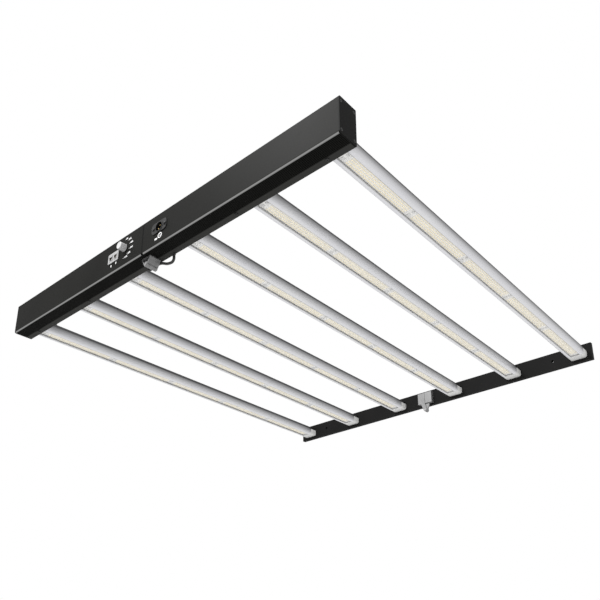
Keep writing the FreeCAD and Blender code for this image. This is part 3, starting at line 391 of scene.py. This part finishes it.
cover_x = sum(corner[0] for corner in cover_first.bound_box) / 8
cover_cuts(cover_first, cover_x)
seams_first = part_off(cover_first, "cover_seams_1", lambda face: abs(
    abs(face.calc_center_median().x - cover_x) - WINDOW_HALF) < GROOVE_HALF)
window_first = part_off(cover_first, "cover_window_1", lambda face: abs(
    face.calc_center_median().x - cover_x) < WINDOW_HALF)
for piece in (cover_first, seams_first, window_first):
    apply_modifier(piece, "SOLIDIFY", thickness=COVER_WALL, offset=-1)
    bpy.ops.object.shade_smooth_by_angle(angle=math.radians(35))
print("wings", len(cover_first.data.polygons), "faces, window", len(window_first.data.polygons))

# %% [markdown]
# All six bars are alike, so the first bar's pieces are copied to the other five. Each copy gets
# its own mesh, and the mesh itself is moved, so its object stays at the origin.

# %% Copy the pieces to the other bars
def bar_centre(bar):
    low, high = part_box(f"lens_{bar}")
    return (low.x + high.x) / 2


def copy_to_bar(piece, stem, bar):
    copy = piece.copy()
    copy.data = piece.data.copy()
    copy.name = copy.data.name = f"{stem}_{bar}"
    bpy.context.collection.objects.link(copy)
    copy.data.transform(Matrix.Translation((bar_centre(bar) - bar_centre(1), 0, 0)))
    return copy


bar_pieces = {1: {"led_rows": led_rows_first, "board_connectors": connectors_first,
                  "cover_wings": cover_first, "cover_seams": seams_first,
                  "cover_window": window_first}}
for bar in range(2, 7):
    bar_pieces[bar] = {stem: copy_to_bar(piece, stem, bar)
                       for stem, piece in bar_pieces[1].items()}
print("bars dressed", len(bar_pieces))

# %% [markdown]
# The dimmer dial has a scale of plain numbers beside it, each with a short tick. Each one is a
# text object, made a mesh, stood upright and set on the panel at its place round the knob.

# %% Print the dial numbers
DIAL_CENTRE = (-66.5, 45.0)
NUMBER_RADIUS = 24.5
NUMBERS = 6
STEP_VALUE = 20
FIRST_ANGLE = 80.0
ANGLE_STEP = 32.0
NUMBER_HEIGHT = 6.0 * MM
NUMBER_WEIGHT = 0.13 * MM
INK = 0.12 * MM


def printed(name, text, centre, height):
    put_all_down()
    bpy.ops.object.text_add()
    word = bpy.context.object
    word.data.body = text
    word.data.align_x = "CENTER"
    word.data.align_y = "CENTER"
    word.data.size = height
    word.data.extrude = INK / 2
    word.data.offset = NUMBER_WEIGHT
    bpy.ops.object.convert(target="MESH")
    word = bpy.context.object
    word.name = word.data.name = name
    word.rotation_euler = (math.pi / 2, 0, 0)
    word.location = centre
    bpy.ops.object.transform_apply(location=True, rotation=True, scale=True)
    return word


numbers = []
for step in range(NUMBERS):
    angle = math.radians(FIRST_ANGLE - step * ANGLE_STEP)
    spot = at(DIAL_CENTRE[0] + NUMBER_RADIUS * math.cos(angle), -INK / MM / 2,
              DIAL_CENTRE[1] + NUMBER_RADIUS * math.sin(angle))
    numbers.append(printed(f"number_{step}", f"- {step * STEP_VALUE}%", spot, NUMBER_HEIGHT))
print("numbers printed", len(numbers))

# %% [markdown]
# Under the two signal sockets are two small arrows, one for the lead in and one for the lead
# out. An arrow is a three-sided cylinder, pressed thin, with a stem extruded from its base.

# %% Print the socket arrows
def arrow(name, x, z, turn):
    put_all_down()
    bpy.ops.mesh.primitive_cylinder_add(vertices=3, radius=3.2 * MM, depth=INK)
    head = bpy.context.object
    head.name = head.data.name = name
    choose(head, "FACE", lambda face: face.normal.y < -0.9 and abs(face.normal.x) < 0.1)
    bpy.ops.mesh.inset(thickness=0.01 * MM)
    bpy.ops.transform.resize(value=(0.4, 1, 1))
    bpy.ops.mesh.extrude_region_move(TRANSFORM_OT_translate={"value": (0, -2.6 * MM, 0)})
    leave_edit_mode()
    head.rotation_euler = (math.pi / 2, turn, 0)
    head.location = at(x, -INK / MM / 2, z)
    pick_up(head)
    bpy.ops.object.transform_apply(location=True, rotation=True, scale=True)
    return head


arrows = [arrow("arrow_in", -115.7, 20.8, 0.0), arrow("arrow_out", -97.3, 20.8, math.pi)]
put_all_down()
for piece in numbers + arrows:
    piece.select_set(True)
bpy.context.view_layer.objects.active = numbers[0]
bpy.ops.object.join()
panel_print = bpy.context.object
panel_print.name = panel_print.data.name = "panel_print"
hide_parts("panel_marks")
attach(panel_print, "left_half")
print("panel print faces", len(panel_print.data.polygons))

# %% [markdown]
# Inside each signal socket lie eight springy gold contacts. One thin wire is modelled with a
# bend near its tip, and arrays lay out the eight in each socket.

# %% Fit the socket contacts
CONTACT_PITCH = 1.02 * MM
CONTACTS = 8
jack_low, jack_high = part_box("signal_jacks")
jack_side = jack_high.z - jack_low.z
jack_gap = (jack_high.x - jack_low.x) - jack_side
wire_low = Vector((
    jack_low.x + jack_side / 2 - (CONTACTS - 1) * CONTACT_PITCH / 2 - 0.2 * MM,
    jack_low.y + 3.0 * MM, jack_low.z + jack_side / 2 + 1.9 * MM))
contacts = block("socket_contacts", wire_low, wire_low + Vector((0.4, 8.6, 0.35)) * MM)
choose(contacts, "FACE", lambda face: face.normal.y < -0.9)
bpy.ops.mesh.extrude_region_move(TRANSFORM_OT_translate={"value": (0, -1.0 * MM, 0.5 * MM)})
leave_edit_mode()
apply_modifier(contacts, "ARRAY", count=CONTACTS, use_relative_offset=False,
               use_constant_offset=True, constant_offset_displace=(CONTACT_PITCH, 0, 0))
apply_modifier(contacts, "ARRAY", count=2, use_relative_offset=False,
               use_constant_offset=True, constant_offset_displace=(jack_gap, 0, 0))
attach(contacts, "left_half")
print("contact faces", len(contacts.data.polygons))

# %% [markdown]
# Now the finishes. A real surface is never one flat colour: powder coat has a fine orange-peel
# grain, extruded metal has streaks along its length, zinc has soft crystals. Each finish below
# is a Principled shader fed by procedural noise, read in Object coordinates, so the pattern
# stays at its true size and never stretches. First a helper lays down the parts they share:
# a colour that drifts between two tones, a roughness that drifts, and a fine bump.

# %% Build a finish from noise
def surface(name, dark, light, rough, grain, bump, metallic=0.0, stretch=(1, 1, 1), drift=18.0):
    material = bpy.data.materials.new(name)
    material.use_nodes = True
    tree = material.node_tree
    shader = tree.nodes["Principled BSDF"]
    shader.inputs["Metallic"].default_value = metallic
    place = tree.nodes.new("ShaderNodeTexCoord")
    mapping = tree.nodes.new("ShaderNodeMapping")
    mapping.inputs["Scale"].default_value = stretch
    tree.links.new(place.outputs["Object"], mapping.inputs["Vector"])
    drift_noise = tree.nodes.new("ShaderNodeTexNoise")
    drift_noise.inputs["Scale"].default_value = drift
    drift_noise.inputs["Detail"].default_value = 6.0
    tree.links.new(mapping.outputs["Vector"], drift_noise.inputs["Vector"])
    ramp = tree.nodes.new("ShaderNodeValToRGB")
    ramp.color_ramp.elements[0].position = 0.32
    ramp.color_ramp.elements[1].position = 0.68
    ramp.color_ramp.elements[0].color = (*dark, 1.0)
    ramp.color_ramp.elements[1].color = (*light, 1.0)
    tree.links.new(drift_noise.outputs["Fac"], ramp.inputs["Fac"])
    tree.links.new(ramp.outputs["Color"], shader.inputs["Base Color"])
    spread = tree.nodes.new("ShaderNodeMapRange")
    spread.inputs["To Min"].default_value = rough[0]
    spread.inputs["To Max"].default_value = rough[1]
    tree.links.new(drift_noise.outputs["Fac"], spread.inputs["Value"])
    tree.links.new(spread.outputs["Result"], shader.inputs["Roughness"])
    fine_noise = tree.nodes.new("ShaderNodeTexNoise")
    fine_noise.inputs["Scale"].default_value = grain
    fine_noise.inputs["Detail"].default_value = 3.0
    tree.links.new(mapping.outputs["Vector"], fine_noise.inputs["Vector"])
    relief = tree.nodes.new("ShaderNodeBump")
    relief.inputs["Strength"].default_value = bump
    relief.inputs["Distance"].default_value = 0.0003
    tree.links.new(fine_noise.outputs["Fac"], relief.inputs["Height"])
    tree.links.new(relief.outputs["Normal"], shader.inputs["Normal"])
    return material


def grey(value):
    return (value, value, value)


print("the finish helper is ready")

# %% [markdown]
# The driver beam and the far beam have a fine matt charcoal powder coat. Its grain is about a
# millimetre across, so the bump noise is fine. The specular level is set far lower than a real
# coat's, because a white studio all round would otherwise wash the dark beams out.

# %% Mix the powder coat
powder_coat = surface("powder_coat", (0.0085, 0.0085, 0.0078), (0.0120, 0.0120, 0.0110),
                      rough=(0.40, 0.52), grain=900.0, bump=0.30, drift=7.0)
# The end caps get a darker copy of the same coat: painted shade on the caps' faces, which turn away
# from the light.
end_cap_shaded_coat = surface("end_plate_shaded_coat", (0.0062, 0.0062, 0.0060), (0.0085, 0.0085, 0.0080),
                   rough=(0.45, 0.58), grain=900.0, bump=0.30, drift=9.0)
far_coat = surface("far_beam_coat", (0.010, 0.010, 0.0098), (0.0135, 0.0132, 0.013),
                   rough=(0.50, 0.65), grain=900.0, bump=0.35, drift=7.0)
for coat, shine in ((powder_coat, 0.025), (end_cap_shaded_coat, 0.03), (far_coat, 0.04)):
    coat.node_tree.nodes["Principled BSDF"].inputs["Specular IOR Level"].default_value = shine
print("three coats mixed")

# %% [markdown]
# The driver beam's lower front edge carries a thin pale line, a painted highlight where the rounded
# edge would catch the light. It is painted here by a mask made of two ramps, one along Y and one
# along Z, multiplied, so that it is only bright where both are close to that edge.

# %% Paint a highlight on the lower front edge
EDGE_REACH = 3.4 * MM
EDGE_HIGHLIGHT_TONE = (0.80, 0.80, 0.79, 1.0)


def near_value(tree, source, value, reach):
    """One at the value, falling to nothing at reach away from it."""
    fall = tree.nodes.new("ShaderNodeMapRange")
    fall.inputs["From Min"].default_value = value
    fall.inputs["From Max"].default_value = value + reach
    fall.inputs["To Min"].default_value = 1.0
    fall.inputs["To Max"].default_value = 0.0
    tree.links.new(source, fall.inputs["Value"])
    return fall.outputs["Result"]


def multiplied(tree, first, second):
    times = tree.nodes.new("ShaderNodeMath")
    times.operation = "MULTIPLY"
    tree.links.new(first, times.inputs[0])
    tree.links.new(second, times.inputs[1])
    return times.outputs["Value"]


def mixed(tree, blend, first):
    """A colour mixer that starts from colour first, with the second laid on in full."""
    mix = tree.nodes.new("ShaderNodeMix")
    mix.data_type = "RGBA"
    mix.blend_type = blend
    mix.inputs["Factor"].default_value = 1.0
    tree.links.new(first, mix.inputs["A"])
    return mix


def tinted(tree, amount, first, tone):
    """Colour first, turning into the tone where the amount is high."""
    mix = mixed(tree, "MIX", first)
    tree.links.new(amount, mix.inputs["Factor"])
    mix.inputs["B"].default_value = tone
    return mix.outputs["Result"]


def object_axes(tree):
    place = tree.nodes.new("ShaderNodeTexCoord")
    axes = tree.nodes.new("ShaderNodeSeparateXYZ")
    tree.links.new(place.outputs["Object"], axes.inputs["Vector"])
    return axes.outputs


coat_tree = powder_coat.node_tree
coat_axes = object_axes(coat_tree)
# Painted highlight: the coat turns to the pale tone along the lower front edge.
edge_highlight_mask = multiplied(coat_tree, near_value(coat_tree, coat_axes["Y"], housing_low.y, EDGE_REACH),
                       near_value(coat_tree, coat_axes["Z"], housing_low.z, EDGE_REACH))
coat_shader = coat_tree.nodes["Principled BSDF"]
plain_coat = coat_shader.inputs["Base Color"].links[0].from_socket
coat_tree.links.new(tinted(coat_tree, edge_highlight_mask, plain_coat, EDGE_HIGHLIGHT_TONE),
                    coat_shader.inputs["Base Color"])

# The plain strip behind the fins is painted a shade paler than the fins, as painted light, by the
# same kind of mask.
STRIP_START = 34.0 * MM
STRIP_LIGHT_TONE = (0.036, 0.036, 0.034, 1.0)
strip_from = coat_tree.nodes.new("ShaderNodeMath")
strip_from.operation = "GREATER_THAN"
strip_from.inputs[1].default_value = housing_low.y + STRIP_START
coat_tree.links.new(coat_axes["Y"], strip_from.inputs[0])
strip = multiplied(coat_tree, strip_from.outputs["Value"],
                   near_value(coat_tree, coat_axes["Z"], housing_low.z, EDGE_REACH))
highlighted_coat = coat_shader.inputs["Base Color"].links[0].from_socket
coat_tree.links.new(tinted(coat_tree, strip, highlighted_coat, STRIP_LIGHT_TONE),
                    coat_shader.inputs["Base Color"])
print("edge and strip paled")

# %% [markdown]
# Each bar's spine is extruded aluminium with a dark anodised skin. The die leaves long faint
# streaks, so the noise is squeezed across the bar and drawn out along it.

# %% Mix the metals
STREAKS = (90.0, 1.2, 90.0)
anodised = surface("dark_anodised", (0.055, 0.055, 0.057), (0.085, 0.085, 0.088),
                   rough=(0.34, 0.48), grain=14.0, bump=0.12, metallic=0.75,
                   stretch=STREAKS, drift=3.0)
hinge_metal = surface("hinge_anodised", grey(0.20), grey(0.26),
                      rough=(0.38, 0.52), grain=16.0, bump=0.15, metallic=0.6,
                      stretch=(12.0, 120.0, 12.0), drift=3.0)
zinc = surface("zinc_plate", grey(0.40), grey(0.55), rough=(0.30, 0.45), grain=260.0,
               bump=0.08, metallic=1.0, drift=140.0)
steel = surface("ground_steel", grey(0.30), grey(0.40), rough=(0.22, 0.34), grain=30.0,
                bump=0.10, metallic=1.0, stretch=(20.0, 160.0, 20.0), drift=4.0)
black_steel = surface("blackened_steel", grey(0.03), grey(0.05), rough=(0.38, 0.52),
                      grain=400.0, bump=0.12, metallic=0.8, drift=120.0)
gold = surface("contact_gold", (0.72, 0.52, 0.22), (0.86, 0.66, 0.32), rough=(0.2, 0.3),
               grain=500.0, bump=0.05, metallic=1.0, drift=200.0)
print("metals mixed")

# %% [markdown]
# The cover's wings and the bar ends are moulded in opaque white plastic, with a faint satin
# texture. The window is the same plastic left clear: its alpha is low, so the LEDs show
# through it, while its surface still catches a highlight.

# %% Mix the plastics
white_plastic = surface("white_plastic", (0.70, 0.70, 0.69), (0.75, 0.75, 0.74),
                        rough=(0.30, 0.42), grain=220.0, bump=0.05, drift=9.0)
wing_plastic = surface("wing_plastic", (0.93, 0.93, 0.97), (0.98, 0.98, 1.0),
                       rough=(0.26, 0.38), grain=40.0, bump=0.04, stretch=(6.0, 1.0, 6.0),
                       drift=6.0)
# The seams' grey is partly the board's edge seen through the cover and partly painted shade along
# it.
seam_shade_plastic = surface("seam_shade_plastic", (0.42, 0.42, 0.425), (0.50, 0.50, 0.505),
                       rough=(0.50, 0.65), grain=300.0, bump=0.10, drift=30.0)
clear_plastic = surface("clear_plastic", (0.86, 0.86, 0.855), (0.92, 0.92, 0.915),
                        rough=(0.06, 0.12), grain=30.0, bump=0.03, stretch=(6.0, 0.6, 6.0),
                        drift=6.0)
clear_plastic.node_tree.nodes["Principled BSDF"].inputs["Alpha"].default_value = 0.16
knob_plastic = surface("knob_plastic", grey(0.44), grey(0.52), rough=(0.36, 0.48),
                       grain=700.0, bump=0.10, drift=60.0)
black_plastic = surface("black_plastic", grey(0.006), grey(0.010), rough=(0.34, 0.48),
                        grain=600.0, bump=0.10, drift=50.0)
ink = surface("white_ink", grey(0.72), grey(0.82), rough=(0.42, 0.55), grain=900.0,
              bump=0.05, drift=300.0)
rubber = surface("black_rubber", grey(0.014), grey(0.022), rough=(0.55, 0.72), grain=900.0,
                 bump=0.15, drift=80.0)
jacket = surface("cable_jacket", (0.012, 0.012, 0.011), (0.018, 0.018, 0.016),
                 rough=(0.30, 0.42), grain=500.0, bump=0.08, drift=90.0)
black_plastic.node_tree.nodes["Principled BSDF"].inputs["Specular IOR Level"].default_value = 0.2
print("plastics mixed")

# %% [markdown]
# The wings look milky at the bottom and darken upwards with painted shade, where the dark heat sink
# behind would show through a real wall. The wall modelled here is opaque and even, so a colour ramp
# stands in for that: it climbs the wing's height in Object coordinates and is multiplied into the
# plastic's own tone.

# %% Paint shade up the wings
wing_low, wing_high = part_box("lens_1")
WING_SHADE_STOPS = ((0.0, 0.78), (0.10, 0.70), (0.30, 0.56), (0.62, 0.36), (1.0, 0.14))


def shade_upwards(material, low_z, high_z, stops):
    tree = material.node_tree
    climb = tree.nodes.new("ShaderNodeMapRange")
    climb.inputs["From Min"].default_value = low_z
    climb.inputs["From Max"].default_value = high_z
    tree.links.new(object_axes(tree)["Z"], climb.inputs["Value"])
    ramp = tree.nodes.new("ShaderNodeValToRGB")
    while len(ramp.color_ramp.elements) < len(stops):
        ramp.color_ramp.elements.new(1.0)
    for element, (position, tone) in zip(ramp.color_ramp.elements, stops):
        element.position = position
        element.color = (tone, tone, tone, 1.0)
    tree.links.new(climb.outputs["Result"], ramp.inputs["Fac"])
    base = tree.nodes["Principled BSDF"].inputs["Base Color"]
    fade = mixed(tree, "MULTIPLY", base.links[0].from_socket)
    tree.links.new(ramp.outputs["Color"], fade.inputs["B"])
    tree.links.new(fade.outputs["Result"], base)


shade_upwards(wing_plastic, wing_low.z, wing_high.z, WING_SHADE_STOPS)
print("wings fade over", round((wing_high.z - wing_low.z) / MM, 1), "mm")

# %% [markdown]
# The LED boards are bright white, so that no light is lost. The package body is cream and its
# phosphor window pale yellow. The light is off, but all three get a faint glow, which stands in
# for the light that bounces about inside a real cover. The driver boards inside are green.

# %% Mix the electronics
board_white = surface("board_white", (0.76, 0.75, 0.72), (0.82, 0.81, 0.79),
                      rough=(0.30, 0.40), grain=300.0, bump=0.05, drift=40.0)
package_cream = surface("package_cream", (0.74, 0.72, 0.66), (0.80, 0.78, 0.72),
                        rough=(0.34, 0.44), grain=800.0, bump=0.05, drift=220.0)
phosphor = surface("phosphor", (0.86, 0.72, 0.38), (0.92, 0.79, 0.46),
                   rough=(0.22, 0.34), grain=1500.0, bump=0.10, drift=260.0)
board_green = surface("board_green", (0.010, 0.075, 0.028), (0.014, 0.10, 0.038),
                      rough=(0.30, 0.42), grain=350.0, bump=0.10, drift=120.0)
parts_dark = surface("component_cases", (0.03, 0.03, 0.05), (0.09, 0.08, 0.06),
                     rough=(0.32, 0.50), grain=400.0, bump=0.12, drift=26.0)
for finish, glow, strength in ((phosphor, (1.0, 0.88, 0.62, 1.0), 0.25),
                               (package_cream, (1.0, 0.95, 0.82, 1.0), 0.13),
                               (board_white, (1.0, 0.99, 0.97, 1.0), 0.13)):
    shader = finish.node_tree.nodes["Principled BSDF"]
    shader.inputs["Emission Color"].default_value = glow
    shader.inputs["Emission Strength"].default_value = strength
print("electronics mixed")

# %% [markdown]
# Each finish goes onto its parts. A part from the frame keeps its shape, and only its material
# changes.

# %% Dress the frame's own parts
def dress(material, *names):
    for name in names:
        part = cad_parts[name]
        part.data.materials.clear()
        part.data.materials.append(material)


def both(*stems):
    return [f"{stem}_{side}" for stem in stems for side in ("left", "right")]


bars = range(1, 7)
dress(powder_coat, *both("driver_housing"))
dress(end_cap_shaded_coat, *both("driver_caps"))
dress(far_coat, *both("far_beam", "far_caps"))
dress(anodised, *[f"heatsink_{bar}" for bar in bars])
dress(board_white, *[f"led_boards_{bar}" for bar in bars])
dress(white_plastic, *both("bar_caps"), *[f"lens_{bar}" for bar in bars])
dress(zinc, *both("bar_brackets", "hanging_lug", "pan_screws"), "dimmer_pot", "port_plate",
      "signal_jacks")
dress(black_steel, *both("black_screws"))
dress(hinge_metal, "near_hinge_left", "near_hinge_right", "far_hinge_clevis", "far_hinge_tang")
dress(steel, "near_hinge_pin", "far_hinge_pin", "dimmer_shaft")
dress(board_green, *both("driver_board"), "control_board")
dress(parts_dark, *both("driver_components"))
dress(black_plastic, "power_inlet")
dress(knob_plastic, "dimmer_knob")
dress(gold, "inlet_pins")
dress(ink, "panel_marks", "inlet_mark")
dress(rubber, "cable_elbow", "cable_gland")
dress(jacket, "jumper_cable")
print("frame parts dressed")

# %% [markdown]
# The new pieces get their finishes too, and each rides on the half of the frame that carries
# it. On the LED packages, the sunken face in the middle is given the second material.

# %% Dress the new pieces and hang them on the frame
def half_of(bar):
    return "left_half" if bar <= 3 else "right_half"


for bar, pieces in bar_pieces.items():
    body = half_of(bar)
    rows = pieces["led_rows"]
    rows.data.materials.append(package_cream)
    rows.data.materials.append(phosphor)
    window_area = (CHIP_WIDTH - 2 * CHIP_RIM) * (CHIP_LENGTH - 2 * CHIP_RIM)
    for face in rows.data.polygons:
        if face.normal.z < -0.9 and face.area > 0.9 * window_area:
            face.material_index = 1
    pieces["board_connectors"].data.materials.append(white_plastic)
    pieces["cover_wings"].data.materials.append(wing_plastic)
    pieces["cover_seams"].data.materials.append(seam_shade_plastic)
    pieces["cover_window"].data.materials.append(clear_plastic)
    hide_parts(f"lens_{bar}")
    for stem, slot in (("led_rows", "led_board"), ("board_connectors", "white_plastic"),
                       ("cover_wings", "lens"), ("cover_seams", "lens"), ("cover_window", "lens")):
        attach(pieces[stem], body)
jumper.data.materials.append(jacket)
panel_print.data.materials.clear()
panel_print.data.materials.append(ink)
contacts.data.materials.append(gold)
print("new pieces dressed")

# %% [markdown]
# The light hangs in a plain white studio. A white world gives even, soft light from all round.
# A big soft lamp in front, high and to the left glances off the driver beam's face, which makes
# it brighten towards its right end. A pale floor lies well below, as it would under a light
# that hangs overhead.

# %% Light the studio
scene = bpy.context.scene
scene.view_settings.view_transform = "Standard"
world = bpy.data.worlds.new("studio")
scene.world = world
world.use_nodes = True
backdrop_light = world.node_tree.nodes["Background"]
backdrop_light.inputs["Color"].default_value = (1.0, 1.0, 1.0, 1.0)
backdrop_light.inputs["Strength"].default_value = 1.0


def soft_lamp(name, place, aim, size, power):
    lamp_data = bpy.data.lights.new(name, "AREA")
    lamp_data.size = size
    lamp_data.energy = power
    lamp = bpy.data.objects.new(name, lamp_data)
    bpy.context.collection.objects.link(lamp)
    lamp.location = place
    lamp.rotation_euler = (aim - place).to_track_quat("-Z", "Y").to_euler()
    return lamp


KEY_PLACE = (-330.0, -1150.0, 1410.0)
KEY_AIM = (550.0, 0.0, 30.0)
KEY_SIZE = 0.8
KEY_POWER = 48.0
FLOOR_SIZE = 14.0
FLOOR_HEIGHT = -2.3
soft_lamp("key_lamp", at(*KEY_PLACE), at(*KEY_AIM), KEY_SIZE, KEY_POWER)
put_all_down()
bpy.ops.mesh.primitive_plane_add(size=FLOOR_SIZE, location=(0.0, 0.0, FLOOR_HEIGHT))
floor = bpy.context.object
floor.name = "floor"
floor.data.materials.append(surface("studio_floor", grey(0.78), grey(0.80), rough=(0.7, 0.8),
                                    grain=30.0, bump=0.02, drift=0.6))
print("studio lit")
